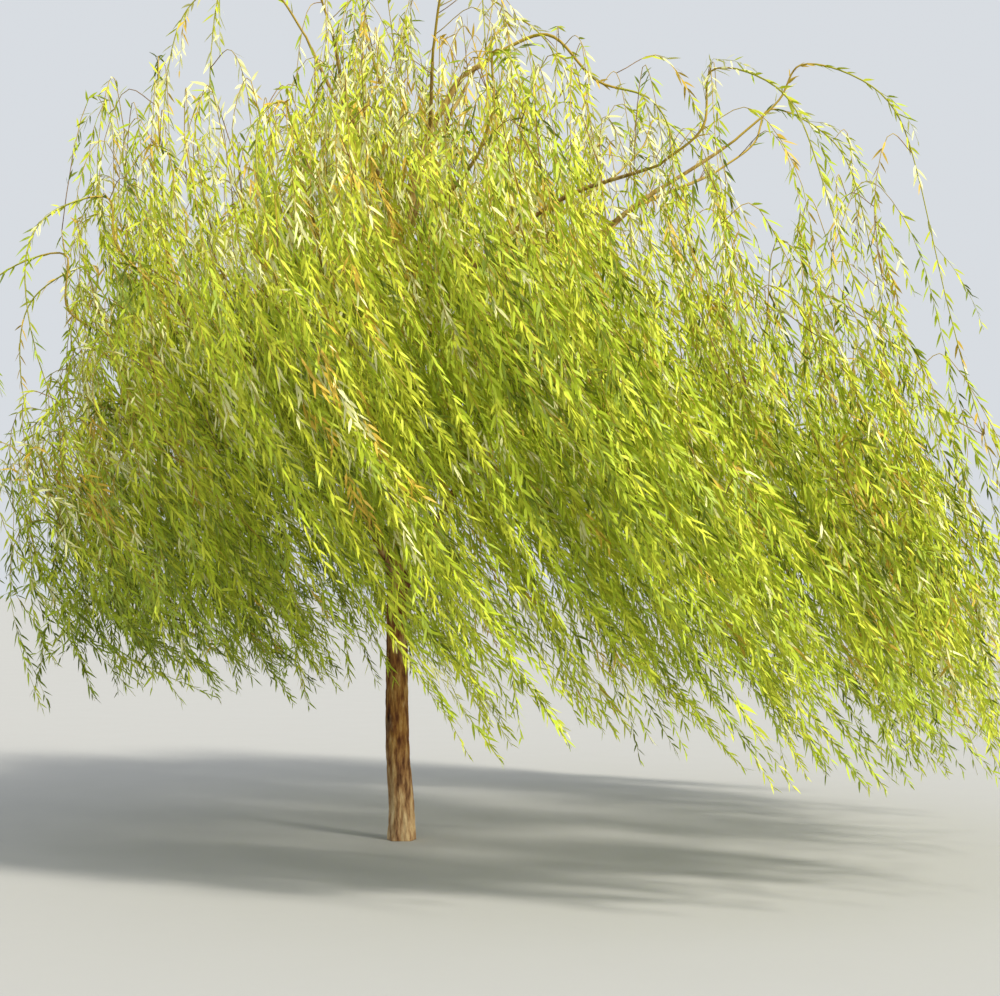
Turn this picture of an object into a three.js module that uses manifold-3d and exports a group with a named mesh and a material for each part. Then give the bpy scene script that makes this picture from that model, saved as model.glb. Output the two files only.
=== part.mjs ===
// A weeping willow sapling in a steady breeze: a trunk, tapering boughs, and curtains of hanging leafy twigs.
// Millimetres, +Z up, +X downwind. The origin is the centre of the trunk's flat foot, at ground level.
// Azimuths are in radians, anticlockwise from +X seen from above.

import * as THREE from "three";
import { ConvexGeometry } from "three/addons/geometries/ConvexGeometry.js";
import { mergeVertices } from "three/addons/utils/BufferGeometryUtils.js";
import Module from "manifold-3d";

const wasm = await Module();
wasm.setup();

const TURN = 2 * Math.PI;
const UP = new THREE.Vector3(0, 0, 1);
const DOWNWIND = new THREE.Vector3(1, 0, 0);

// Driving dimensions: the trunk, its line given as points up from the foot
const TRUNK = {
  line: [
    [0, 0, 0],
    [0, 0, 60],
    [0, 0, 160],
    [-20, 0, 450],
    [-24, 3, 950],
    [-24, 8, 1450],
    [-36, 14, 2050],
    [-18, 8, 2700],
    [45, 0, 3200],
    [130, -8, 3520],
    [215, -12, 3680],
    [305, -14, 3820],
    [410, -16, 3885],
  ],
  waistRadius: 62,
  tipRadius: 12,
  taper: 1.25,
  flare: { radius: 9, height: 110, lobes: 5, lobeDepth: 5 },
  sides: 12,
  steps: 16,
  crowding: 1.5,
};

// Driving dimensions: the crown's outline in plan, longer on the leeward side
const CROWN = { reach: 2600, leewardStretch: 200 };

// Rings of foliage masses. Seat and bough end are shares of the crown's reach; crest and foot are heights.
// Columns are the ellipse, radial by sideways and shifted outward from the seat, in which the twigs hang.
const RINGS = {
  inner: {
    count: 6,
    first: -TURN / 36,
    seat: 0.37,
    boughEnd: 0.2,
    crest: 4260,
    leewardRise: -70,
    foot: 1560,
    columns: { shift: 20, half: [400, 380] },
    twigs: 5,
  },
  outer: {
    count: 12,
    first: -TURN / 24,
    seat: 0.73,
    boughEnd: 0.58,
    crest: 3590,
    leewardRise: 200,
    foot: 690,
    columns: { shift: 100, half: [560, 430] },
    twigs: 5,
  },
};
const LEADER_CREST = 3750;
const FAR_RISE = 200;
const WINDWARD_DROP = { drop: 450, from: 0.45, to: 0.9 };
const FOOT_TILT = { drop: 300, azimuth: (23 / 24) * TURN };
const UNEVEN = { azimuth: 0.12, crest: 160, foot: 120 };

// Driving dimensions: the boughs
const BOUGH = {
  belowCrest: 380,
  mainRadius: 25,
  sideRadius: 17,
  innerRadius: 18,
  tipRadius: 8,
  mainHeights: [1180, 1880],
  innerHeights: [2020, 2900],
  sideShare: 0.42,
  bow: 0.135,
  wander: 0.12,
  taper: 0.85,
  sides: { main: 8, thin: 6 },
  steps: 7,
};

// Driving dimensions: the stem of each mass, its places given as shares of the columns' radial size
const STEM = {
  radius: 7.7,
  collar: 60,
  crest: { out: -0.1, down: 0 },
  shoulder: { out: 0.58, down: 0.28 },
  hang: { out: 0.9, down: 1.1 },
  steps: 10,
};

// Driving dimensions: the twigs and leaves, each leaf standing for a spray of life-size ones
const TWIG = {
  radius: 5.6,
  tipRadius: 2.6,
  sides: 3,
  steps: 6,
  arch: [0.2, 0.7],
  spring: 0.16,
  sway: 70,
  footRange: 420,
  fewestPoints: 4,
};
const LEAF = {
  length: 370,
  width: 52,
  thickness: 10,
  widest: 0.4,
  spacing: 465,
  firstAt: 0.16,
  lastAt: 0.6,
  spread: 0.5,
};

// How the breeze slants what hangs: nothing above its top, then more and more up to the slope
const WIND = { top: 3500, slope: 0.76, onset: 900, windwardShare: 0.65, leewardShare: 0.6, farShare: 0.85 };

// Clearances between solids
const GAP = { seat: 0.35, limb: 16, space: 14 };

// A repeatable number from 0 to 1 for each mass, twig and use
function chance(mass, twig, use) {
  const wave = Math.sin(mass * 127.1 + twig * 311.7 + use * 74.7) * 43758.5453;
  return wave - Math.floor(wave);
}

// The kth number of an evenly spread sequence in the given base
function spreadOut(k, base) {
  let share = 0;
  for (let step = 1 / base, rest = k; rest > 0; step /= base) {
    share += (rest % base) * step;
    rest = Math.floor(rest / base);
  }
  return share;
}

const mix = (a, b, share) => a + (b - a) * share;
const clamp = (value, low, high) => Math.min(high, Math.max(low, value));

function smooth(value, low, high) {
  const share = clamp((value - low) / (high - low), 0, 1);
  return share * share * (3 - 2 * share);
}

const outward = (azimuth) => new THREE.Vector3(Math.cos(azimuth), Math.sin(azimuth), 0);
const reachAt = (azimuth) => CROWN.reach + CROWN.leewardStretch * Math.cos(azimuth);

// How far the breeze carries a point that would hang at x, y in still air
function drift(x, y, z) {
  const depth = Math.max(0, WIND.top - z);
  const windward = mix(WIND.windwardShare, 1, smooth(x, -0.9 * CROWN.reach, -0.3 * CROWN.reach));
  const leeward = mix(1, WIND.leewardShare, smooth(x, 0.1 * CROWN.reach, CROWN.reach));
  const far = mix(1, WIND.farShare, smooth(y, -CROWN.reach, CROWN.reach));
  return WIND.slope * windward * leeward * far * (depth - WIND.onset * Math.atan(depth / WIND.onset));
}

const blown = (p) => new THREE.Vector3(p.x + drift(p.x, p.y, p.z), p.y, p.z);

// The inverse of blown: where a point would hang in still air
function calm(p) {
  let x = p.x;
  for (let i = 0; i < 24; i++) x = mix(x, p.x - drift(x, p.y, p.z), 0.7);
  return new THREE.Vector3(x, p.y, p.z);
}

// Straight stretches between points, whose shares count whole stretches
class Polyline extends THREE.Curve {
  constructor(points) {
    super();
    this.points = points;
  }

  getPoint(share) {
    const place = share * (this.points.length - 1);
    const i = Math.min(Math.floor(place), this.points.length - 2);
    return this.points[i].clone().lerp(this.points[i + 1], place - i);
  }

  getUtoTmapping(share) {
    return share;
  }
}

// A closed tapered tube: a cylinder whose rings are moved onto the curve
function tube(curve, radiusAt, sides, steps) {
  const geometry = new THREE.CylinderGeometry(1, 1, 1, sides, steps);
  const { normals, binormals } = curve.computeFrenetFrames(steps);
  const corner = geometry.attributes.position;
  for (let i = 0; i < corner.count; i++) {
    const across = new THREE.Vector2(corner.getX(i), corner.getZ(i));
    const share = corner.getY(i) + 0.5;
    const ring = Math.round(share * steps);
    const radius = radiusAt(share, across.angle());
    const point = curve
      .getPointAt(share)
      .addScaledVector(normals[ring], across.x * radius)
      .addScaledVector(binormals[ring], -across.y * radius);
    corner.setXYZ(i, point.x, point.y, point.z);
  }
  return geometry;
}

const curveThrough = (points) => new THREE.CatmullRomCurve3(points, false, "centripetal");

function solidOf(geometry) {
  const bare = geometry.clone().deleteAttribute("normal").deleteAttribute("uv");
  const merged = mergeVertices(bare, 1e-3);
  return new wasm.Manifold(
    new wasm.Mesh({
      numProp: 3,
      vertProperties: merged.attributes.position.array,
      triVerts: new Uint32Array(merged.index.array),
    }),
  );
}

// The largest body of a fused solid, so that a loose scrap is dropped and a sealed hollow filled
function mainBody(solid) {
  return solid.decompose().reduce((a, b) => (a.volume() > b.volume() ? a : b));
}

function geometryOf(solid) {
  const mesh = solid.getMesh();
  const geometry = new THREE.BufferGeometry();
  geometry.setAttribute("position", new THREE.BufferAttribute(mesh.vertProperties, 3));
  geometry.setIndex(new THREE.BufferAttribute(mesh.triVerts, 1));
  geometry.computeVertexNormals();
  return geometry;
}

const bark = new THREE.MeshStandardMaterial({ color: 0x6b5230, roughness: 0.9, metalness: 0 });
const leaves = new THREE.MeshStandardMaterial({ color: 0x9aa62c, roughness: 0.6, metalness: 0 });

const willow = new THREE.Group();

function addNode(name, solid, material) {
  const mesh = new THREE.Mesh(geometryOf(solid), material);
  mesh.name = name;
  willow.add(mesh);
}

// Limbs: the trunk and boughs, each kept with its line and radius for what starts on it or keeps clear of it
const limbs = [];

function limbSolid(limb, grow) {
  const radiusAt = (share, angle) => limb.radiusAt(share, angle) + grow;
  return solidOf(tube(limb.curve, radiusAt, limb.sides, limb.steps));
}

// A limb's root is cut to its parent's bark, a hair clear of it
function addLimb(name, limb, parent) {
  let solid = limbSolid(limb, 0);
  if (parent) solid = mainBody(solid.subtract(limbSolid(parent, GAP.seat)));
  limbs.push(limb);
  addNode(name, solid, bark);
}

// The trunk's rings crowd towards its foot, where the roots flare
const trunkLine = curveThrough(TRUNK.line.map((p) => new THREE.Vector3(...p)));
const trunkLength = trunkLine.getLength();
const trunkShare = (ring) => ring ** TRUNK.crowding;

function trunkRadius(ring, angle) {
  const { radius, height, lobes, lobeDepth } = TRUNK.flare;
  const share = trunkShare(ring);
  const stem = mix(TRUNK.waistRadius, TRUNK.tipRadius, share ** TRUNK.taper);
  const flare = Math.exp((-share * trunkLength) / height);
  return stem + flare * (radius + lobeDepth * Math.cos(lobes * angle));
}

const trunkPoints = Array.from({ length: TRUNK.steps + 1 }, (unused, i) =>
  trunkLine.getPointAt(trunkShare(i / TRUNK.steps)),
);
const trunk = {
  curve: new Polyline(trunkPoints),
  radiusAt: trunkRadius,
  sides: TRUNK.sides,
  steps: TRUNK.steps,
};
addLimb("trunk", trunk, null);

// The share of the limb's length at which it passes a height
function shareAtHeight(limb, z) {
  let share = 0;
  while (share < 1 && limb.curve.getPointAt(share).z < z) share += 0.005;
  return share;
}

// A bough rises steeply off its parent, then leans over towards its end, wandering a little sideways
function boughCurve(start, end, number) {
  const across = end.clone().sub(start);
  const sideways = new THREE.Vector3(-across.y, across.x, 0).normalize();
  const pointAt = (share, lift) =>
    start
      .clone()
      .lerp(end, share)
      .addScaledVector(UP, lift * BOUGH.bow * across.length())
      .addScaledVector(sideways, (chance(number, share, 1) - 0.5) * BOUGH.wander * across.length());
  return curveThrough([start, pointAt(0.3, 0.75), pointAt(0.62, 1), end]);
}

function boughFrom(parent, share, end, radius, number) {
  const start = parent.curve.getPointAt(share);
  const curve = boughCurve(start, end, number);
  const radiusAt = (along) => mix(radius, BOUGH.tipRadius, along ** BOUGH.taper);
  const sides = radius < BOUGH.mainRadius ? BOUGH.sides.thin : BOUGH.sides.main;
  return { curve, radiusAt, sides, steps: BOUGH.steps };
}

// The crown's height over a ring: higher to leeward and on its far side, and lower on the windward side
function crestAt(ring, azimuth) {
  const { drop, from, to } = WINDWARD_DROP;
  const windward = ring === RINGS.outer ? drop * smooth(-Math.cos(azimuth), from, to) : 0;
  const far = FAR_RISE * Math.sin(azimuth) * (ring.seat / RINGS.outer.seat);
  return ring.crest + ring.leewardRise * Math.cos(azimuth) + far - windward;
}

// The foliage masses' places: each has a seat, the end of its bough, and the heights of its crest and foot
function massesOf(ring, firstNumber) {
  return Array.from({ length: ring.count }, (unused, i) => {
    const number = firstNumber + i;
    const azimuth = ring.first + (i / ring.count) * TURN + (chance(number, 0, 2) - 0.5) * UNEVEN.azimuth;
    const reach = reachAt(azimuth);
    const crest = crestAt(ring, azimuth) + (chance(number, 0, 3) - 0.5) * UNEVEN.crest;
    const foot =
      ring.foot -
      FOOT_TILT.drop * Math.cos(azimuth - FOOT_TILT.azimuth) +
      (chance(number, 0, 4) - 0.5) * UNEVEN.foot;
    const seat = outward(azimuth).multiplyScalar(reach * ring.seat);
    const tip = outward(azimuth).multiplyScalar(reach * ring.boughEnd);
    tip.z = crest - BOUGH.belowCrest;
    return { number, azimuth, seat, tip, crest, foot, ring };
  });
}

const innerMasses = massesOf(RINGS.inner, 1);
const outerMasses = massesOf(RINGS.outer, 1 + RINGS.inner.count);
const masses = [...innerMasses, ...outerMasses];

// The trunk's own tip carries the leeward inner mass
const leaderMass = innerMasses[0];
leaderMass.crest = LEADER_CREST;
leaderMass.limb = trunk;

innerMasses.slice(1).forEach((mass, i) => {
  const height = mix(...BOUGH.innerHeights, spreadOut(i, 2));
  mass.limb = boughFrom(trunk, shareAtHeight(trunk, height), mass.tip, BOUGH.innerRadius, mass.number);
  addLimb(`upper_bough_${i + 1}`, mass.limb, trunk);
});

// Main boughs and side boughs take the outer masses in turn
outerMasses.forEach((mass, i) => {
  const pair = Math.floor(i / 2) + 1;
  if (i % 2 === 0) {
    const height = mix(...BOUGH.mainHeights, spreadOut(pair - 1, 2));
    mass.limb = boughFrom(trunk, shareAtHeight(trunk, height), mass.tip, BOUGH.mainRadius, mass.number);
    addLimb(`main_bough_${pair}`, mass.limb, trunk);
  } else {
    const parent = outerMasses[i - 1].limb;
    mass.limb = boughFrom(parent, BOUGH.sideShare, mass.tip, BOUGH.sideRadius, mass.number);
    addLimb(`side_bough_${pair}`, mass.limb, parent);
  }
});

// Points along every limb with its radius there, for keeping foliage clear
const limbPoints = limbs.flatMap((limb) => {
  const count = Math.ceil(limb.curve.getLength() / 20);
  return Array.from({ length: count + 1 }, (unused, i) => {
    const share = i / count;
    return { at: limb.curve.getPointAt(share), radius: limb.radiusAt(share, 0) };
  });
});

// Whether the stretch from a to b keeps clear of every limb
function isClear(a, b, margin) {
  const stretch = new THREE.Line3(a, b);
  const nearest = new THREE.Vector3();
  return limbPoints.every(({ at, radius }) => {
    stretch.closestPointToPoint(at, true, nearest);
    return nearest.distanceTo(at) > radius + margin;
  });
}

// Whether a point lies in the mass's own space: off the ground, and in still air nearest the mass's own seat
function isInside(mass, point, margin) {
  const still = calm(point);
  const toSeat = (other) => Math.hypot(still.x - other.seat.x, still.y - other.seat.y);
  const own = toSeat(mass);
  return masses.every((other) => {
    if (other === mass) return point.z > margin;
    const between = 2 * mass.seat.distanceTo(other.seat);
    return (toSeat(other) ** 2 - own ** 2) / between > margin;
  });
}

// The stem carries the bough on past its tip, rises over the mass's crest, and hangs outside it
function stemLine(mass) {
  const tip = mass.limb.curve.getPointAt(1);
  const direction = mass.limb.curve.getTangentAt(1);
  const [radial] = mass.ring.columns.half;
  const start = calm(tip.clone().addScaledVector(direction, STEM.collar));
  const pointAt = ({ out, down }) =>
    mass.seat
      .clone()
      .addScaledVector(outward(mass.azimuth), out * radial)
      .setZ(mass.crest - down * radial);
  const crest = pointAt(STEM.crest);
  const climb = start.clone().addScaledVector(direction, 0.45 * start.distanceTo(crest));
  climb.lerp(crest, 0.3);
  const hang = pointAt(STEM.hang);
  const foot = hang.clone().setZ(mass.foot);
  return {
    root: tip.addScaledVector(direction, GAP.seat),
    still: curveThrough([start, climb, crest, pointAt(STEM.shoulder), hang, foot]),
  };
}

// Where the kth twig of a mass hangs in still air, every second mass the other way round
function column(mass, k) {
  const { shift, half } = mass.ring.columns;
  const angle = (-1) ** mass.number * spreadOut(k, 3) * TURN;
  const radius = Math.sqrt(spreadOut(k, 2));
  return mass.seat
    .clone()
    .addScaledVector(outward(mass.azimuth), shift + half[0] * radius * Math.cos(angle))
    .addScaledVector(outward(mass.azimuth + TURN / 4), half[1] * radius * Math.sin(angle));
}

// The point and direction at a distance along the points
function walk(points, distance) {
  let left = distance;
  let i = 1;
  while (i < points.length - 1 && left > points[i].distanceTo(points[i - 1])) {
    left -= points[i].distanceTo(points[i - 1]);
    i++;
  }
  const along = points[i].clone().sub(points[i - 1]);
  const share = clamp(left / along.length(), 0, 1);
  return { point: points[i - 1].clone().lerp(points[i], share), along: along.normalize() };
}

// The point of the stem's arch, in still air, from which a twig can best spring to its place
function springPoint(mass, stemPoints, place) {
  const out = outward(mass.azimuth);
  const wanted = place.dot(out) - 0.3 * mass.ring.columns.half[0];
  const misses = (point) => Math.abs(point.dot(out) - wanted);
  const arch = new Polyline(stemPoints);
  const [from, to] = TWIG.arch;
  const tries = Array.from({ length: 51 }, (unused, i) => calm(arch.getPoint(mix(from, to, i / 50))));
  return tries.reduce((best, point) => (misses(point) < misses(best) ? point : best));
}

// A twig springs from the stem's arch over towards its place, turns, and hangs
function twigLine(mass, stemPoints, k) {
  const place = column(mass, k);
  const start = springPoint(mass, stemPoints, place);
  const across = Math.hypot(place.x - start.x, place.y - start.y);
  const lift = 25 + TWIG.spring * across;
  const over = start.clone().lerp(place, 0.55).setZ(start.z + lift);
  const turned = place.clone().setZ(start.z + lift - 0.45 * across - 90);
  const foot = place.clone().setZ(mass.foot + chance(mass.number, k, 6) * TWIG.footRange);
  const sway = (use) => (chance(mass.number, k, use) - 0.5) * TWIG.sway;
  const middle = turned
    .clone()
    .lerp(foot, 0.5)
    .add(new THREE.Vector3(sway(7), sway(8), 0));
  return curveThrough([start, over, turned, middle, foot]);
}

// A still line as it lies in the breeze, cut short where it would leave its space
function blownLine(mass, line, steps) {
  const points = line.getPoints(steps).map(blown);
  const isKept = (p, i) =>
    i === 0 ||
    (isInside(mass, p, GAP.space + TWIG.radius) && isClear(points[i - 1], p, GAP.limb + TWIG.radius));
  const end = points.findIndex((p, i) => !isKept(p, i));
  return end < 0 ? points : points.slice(0, end);
}

// A narrow blade of four faces from its root along +X: flat above, with its midrib as a keel below
function leafCorners() {
  const { length, width, thickness } = LEAF;
  const widest = LEAF.widest * length;
  return [
    new THREE.Vector3(0, 0, 0),
    new THREE.Vector3(widest, width / 2, thickness),
    new THREE.Vector3(widest, -width / 2, thickness),
    new THREE.Vector3(length, 0, 0),
  ];
}

// The leaf's place on a twig: it slants off to one side, and the breeze turns it downwind
function leafMatrix(mass, k, i, point, along) {
  const angle = chance(mass.number, 40 * k + i, 9) * TURN;
  const side = new THREE.Vector3(Math.cos(angle), Math.sin(angle), -0.2)
    .addScaledVector(DOWNWIND, 0.4)
    .projectOnPlane(along)
    .normalize();
  const direction = along.clone().addScaledVector(side, LEAF.spread).normalize();
  const normal = new THREE.Vector3().crossVectors(direction, along).normalize();
  const flat = new THREE.Vector3().crossVectors(normal, direction);
  return new THREE.Matrix4().makeBasis(direction, flat, normal).setPosition(point);
}

function leafSolids(mass, k, points) {
  const length = points.slice(1).reduce((sum, p, i) => sum + p.distanceTo(points[i]), 0);
  const made = [];
  const first = LEAF.firstAt * length;
  const count = Math.floor((length - first - LEAF.lastAt * LEAF.length) / LEAF.spacing);
  for (let i = 0; i <= count; i++) {
    const { point, along } = walk(points, first + i * LEAF.spacing);
    const matrix = leafMatrix(mass, k, i, point, along);
    const corners = leafCorners().map((p) => p.applyMatrix4(matrix));
    const isFree =
      isClear(point, corners.at(-1), GAP.limb + LEAF.width / 2) &&
      corners.every((p) => isInside(mass, p, GAP.space));
    if (isFree) made.push(solidOf(new ConvexGeometry(corners)));
  }
  return made;
}

function twigSolid(points, startRadius) {
  const radiusAt = (share) => mix(startRadius, TWIG.tipRadius, share);
  return solidOf(tube(new Polyline(points), radiusAt, TWIG.sides, points.length - 1));
}

function massSolid(mass) {
  const stem = stemLine(mass);
  const stemPoints = [stem.root, ...blownLine(mass, stem.still, STEM.steps)];
  const parts = [twigSolid(stemPoints, STEM.radius), ...leafSolids(mass, 0, stemPoints.slice(3))];
  for (let k = 1; k <= mass.ring.twigs; k++) {
    const points = blownLine(mass, twigLine(mass, stemPoints, k), TWIG.steps);
    if (points.length < TWIG.fewestPoints) continue;
    parts.push(twigSolid(points, TWIG.radius), ...leafSolids(mass, k, points));
  }
  return mainBody(wasm.Manifold.union(parts));
}

innerMasses.forEach((mass, i) => addNode(`inner_foliage_${i + 1}`, massSolid(mass), leaves));
outerMasses.forEach((mass, i) => addNode(`outer_foliage_${i + 1}`, massSolid(mass), leaves));

export default willow;
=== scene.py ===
"""A weeping willow sapling in a steady breeze.

The bark has relief, and the hanging twigs and life-size leaves are grown by the CAD's own rule.
Metres, +Z up, +X downwind, the origin at the centre of the trunk's flat foot.
Azimuths are anticlockwise from +X, seen from above.
"""

import math

import bpy
import numpy as np
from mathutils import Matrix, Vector, noise


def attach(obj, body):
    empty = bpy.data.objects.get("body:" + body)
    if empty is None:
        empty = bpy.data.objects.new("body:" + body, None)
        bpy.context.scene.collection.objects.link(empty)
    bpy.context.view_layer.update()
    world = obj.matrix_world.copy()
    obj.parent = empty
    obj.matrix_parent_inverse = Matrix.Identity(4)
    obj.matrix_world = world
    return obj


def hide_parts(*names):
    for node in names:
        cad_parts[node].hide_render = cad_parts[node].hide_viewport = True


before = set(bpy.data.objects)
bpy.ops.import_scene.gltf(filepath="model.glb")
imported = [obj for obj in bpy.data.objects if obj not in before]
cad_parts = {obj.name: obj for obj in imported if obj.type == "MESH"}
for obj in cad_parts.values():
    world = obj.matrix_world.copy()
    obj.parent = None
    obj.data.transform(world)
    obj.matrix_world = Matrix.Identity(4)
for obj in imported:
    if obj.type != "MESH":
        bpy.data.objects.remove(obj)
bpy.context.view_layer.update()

TURN = 2 * math.pi
UP = np.array([0.0, 0.0, 1.0])
DOWNWIND = np.array([1.0, 0.0, 0.0])

# The limbs, the masses' stems and the breeze, as in the CAD
TRUNK_LINE = [
    (0, 0, 0),
    (0, 0, 0.06),
    (0, 0, 0.16),
    (-0.02, 0, 0.45),
    (-0.024, 0.003, 0.95),
    (-0.024, 0.008, 1.45),
    (-0.036, 0.014, 2.05),
    (-0.018, 0.008, 2.7),
    (0.045, 0, 3.2),
    (0.13, -0.008, 3.52),
    (0.215, -0.012, 3.68),
    (0.305, -0.014, 3.82),
    (0.41, -0.016, 3.885),
]
TRUNK = {"waist": 0.062, "tip": 0.012, "taper": 1.25, "steps": 16, "crowding": 1.5, "search_step": 0.005}
FLARE = {"radius": 0.009, "height": 0.11, "lobes": 5, "lobe_depth": 0.005}
CROWN = {"reach": 2.6, "leeward_stretch": 0.2}
FAR_RISE = 0.2
WINDWARD_DROP = {"drop": 0.45, "from": 0.45, "to": 0.9}
FOOT_TILT = {"drop": 0.3, "azimuth": 23 / 24 * TURN}
UNEVEN = {"azimuth": 0.12, "crest": 0.16, "foot": 0.12}
BOUGH = {
    "below_crest": 0.38,
    "main": 0.025,
    "side": 0.017,
    "inner": 0.018,
    "tip": 0.008,
    "main_heights": (1.18, 1.88),
    "inner_heights": (2.02, 2.9),
    "side_share": 0.42,
    "bends": ((0.3, 0.75), (0.62, 1)),
    "bow": 0.135,
    "wander": 0.12,
    "taper": 0.85,
}
STEM = {
    "radius": 0.0077,
    "leader": 0.0115,
    "tip": 0.002,
    "collar": 0.06,
    "sunk": 0.02,
    "climb": 0.45,
    "pull": 0.3,
    "crest": (-0.1, 0),
    "shoulder": (0.58, 0.28),
    "hang": (0.9, 1.1),
    "points": 41,
}
WIND = {
    "top": 3.5,
    "slope": 0.76,
    "onset": 0.9,
    "windward": 0.65,
    "leeward": 0.6,
    "far": 0.85,
    "windward_edge": (-0.9, -0.3),
    "leeward_edge": (0.1, 1),
    "rounds": 24,
    "step": 0.7,
}

# Rings of masses, as in the CAD apart from the shift, spread and number of the strands
INNER = {
    "name": "inner_foliage",
    "count": 6,
    "first": -TURN / 36,
    "seat": 0.37,
    "bough_end": 0.2,
    "crest": 4.26,
    "leeward_rise": -0.07,
    "foot": 1.56,
    "half": (0.4, 0.38),
    "shift": -0.08,
    "spread": (1.7, 1.6),
    "strands": 72,
}
OUTER = {
    "name": "outer_foliage",
    "count": 12,
    "first": -TURN / 24,
    "seat": 0.73,
    "bough_end": 0.58,
    "crest": 3.59,
    "leeward_rise": 0.2,
    "foot": 0.69,
    "half": (0.56, 0.43),
    "shift": 0.1,
    "spread": (0.96, 1.2),
    "strands": 70,
}
LEADER_CREST = 3.75

# Where the finer growth reaches. A range's effect starts at its first number and is whole at its second.
# The dome's ranges are of the azimuth's cosine and of shares of the reach, and the others of X and Y.
DOME = {
    "leader": 3.93,
    "leader_range": (0.6, 1),
    "shoulder": {"drop": 0.45, "from": 0.72, "to": 0.97},
    "inner_edge": INNER["seat"] - 0.05,
    "rim": 0.78,
    "rim_slope": 1.1,
    "windward": (0.4, 0.8),
    "ledge": 3.68,
    "ledge_range": (0.12, 0.3),
    "ledge_fall": 1.4,
    "ledge_fall_range": (0.63, 0.78),
    "ledge_rim": 0.8,
    "ledge_rim_slope": 2.5,
}
FOOT_LIFT = {
    "height": 0.32,
    "windward": (-0.5, -1.1),
    "rim_share": 0.4,
    "rim": (-1.4, -2),
    "near": (-0.2, -1.3),
}
LEEWARD_SHIFT = 0.04

# The finer growth that the CAD leaves out. Bough and arch are a range and a number of points on what
# carries the strands. Drop and its power have one value for a closed crown and one for an open one.
STRAND = {
    "bough": (0.55, 0.98, 30),
    "arch": (0.05, 0.9, 41),
    "parents": 16,
    "parent_points": slice(5, -6),
    "inward": 0.3,
    "scatter": 0.7,
    "over": 0.05,
    "under": 0.12,
    "slope": 0.12,
    "lift": 0.03,
    "rise": 0.38,
    "shortest": 0.6,
    "shortest_hang": 0.4,
    "drop": (1.5, 3.0),
    "drop_power": (1.15, 0.42),
    "foot_range": 0.9,
    "foot_power": (2, 1),
    "ragged": 0.3,
    "ragged_range": (-0.2, -1),
    "sway": 0.3,
    "foot_sway": 1.5,
    "points": 19,
    "radius": 0.0026,
    "tip": 0.001,
    "bare": 0.06,
}
OPEN = {
    "leeward": (0.4, 1.9),
    "inner_windward": (-0.35, -0.85),
    "inner_leeward": (0, 0.5),
    "inner_share": 0.5,
}
LEEWARD_FOOT = {"from": (1.3, 2.2), "stretch": 1.6}
GUST = {"range": (0.74, 1.1), "leeward_less": 0.14, "leeward": (1.7, 2.5), "onset": (0, 0.4)}
SIDE_TWIG = {
    "spacing": 0.42,
    "first": 0.1,
    "length": (0.28, 0.55),
    "past_end": 0.06,
    "shortest": 0.12,
    "slack": 0.94,
    "upward": 0.1,
    "width": (0.015, 0.06),
    "spread": 3.5,
    "points": 5,
    "radius": 0.0014,
    "tip": 0.0008,
    "bare": 0.03,
    "leaf_size": 0.92,
}

# Least, starts and complete have one value for the crown's middle and one for its open sides: the share
# of leaves kept at the top, and the depths at which it begins to grow and is whole. The corner is the
# low one to leeward.
FULLNESS = {
    "leeward": (0.4, 1.7),
    "windward": (0, -1),
    "windward_share": 0.75,
    "windward_height": (3.3, 3.8),
    "least": (0.7, 0.75),
    "starts": (0.1, 0.3),
    "complete": (1.1, 2.6),
    "corner_less": 0.3,
    "corner_out": (1.8, 2.8),
    "corner_down": (1.8, 0.8),
}

# Leaves: length, width and spacing are in metres, spiral and turn in radians, and the rest are shares
LEAF = {
    "length": 0.077,
    "lengths": (0.75, 1.2),
    "width": 0.0122,
    "widths": (0.8, 1.2),
    "spacing": 0.0178,
    "richness": (0.6, 1.2),
    "spiral": 2.4,
    "sag": 0.15,
    "downwind": 0.3,
    "slant": (0.22, 0.82),
    "ruffle": 0.6,
    "turn": 2.6,
    "end_taper": 0.45,
    "open_size": 0.7,
    "bend": 0.22,
    "backward": 0.35,
    "droop": 0.12,
}

# A leaf's outline: shares of its length and half width, root to tip
LEAF_SHAPE = np.array([(0, 0), (0.28, 1), (0.28, -1), (0.62, 0.8), (0.62, -0.8), (1, 0)])
LEAF_FACES = np.array([(0, 2, 1), (1, 2, 4), (1, 4, 3), (3, 4, 5)])

# Leaf colours are dealt out by spray, which is so many leaves in a row. High, windward and low are the
# ranges of height or X over which those places take on shares of their own. These shares paint light and
# shade: lighter tones at the top and to windward, and the painted shade tone low to windward.
TINT = {
    "spray": 10,
    "spray_share": 0.6,
    "patch_share": 0.16,
    "high": (2.1, 3.5),
    "windward": (0, -0.8),
    "low": (1.9, 0.9),
}

# A line's seed is its mass's number times the first of these, plus its own number. A side twig's seed is
# its line's seed times the second, plus its own number.
LINE_SEEDS = 100
TWIG_SEEDS = 40


def chance(mass, twig, use):
    """A repeatable number from 0 to 1. The use tells one draw for the same twig from another."""
    wave = np.sin(mass * 127.1 + twig * 311.7 + use * 74.7) * 43758.5453
    return wave - np.floor(wave)


def spread_out(k, base):
    """The kth number of an evenly spread sequence in the given base."""
    share, step = 0.0, 1 / base
    while k > 0:
        share += (k % base) * step
        k //= base
        step /= base
    return share


def mix(a, b, share):
    return a + (b - a) * share


def smooth(value, start, end):
    """Goes smoothly from 0 at the start to 1 at the end, which may be the lower of the two."""
    share = np.clip((value - start) / (end - start), 0, 1)
    return share * share * (3 - 2 * share)


def unit(vectors):
    return vectors / np.maximum(np.linalg.norm(vectors, axis=-1, keepdims=True), 1e-12)


def outward(azimuth):
    return np.array([math.cos(azimuth), math.sin(azimuth), 0.0])


def reach_at(azimuth):
    return CROWN["reach"] + CROWN["leeward_stretch"] * np.cos(azimuth)


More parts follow.
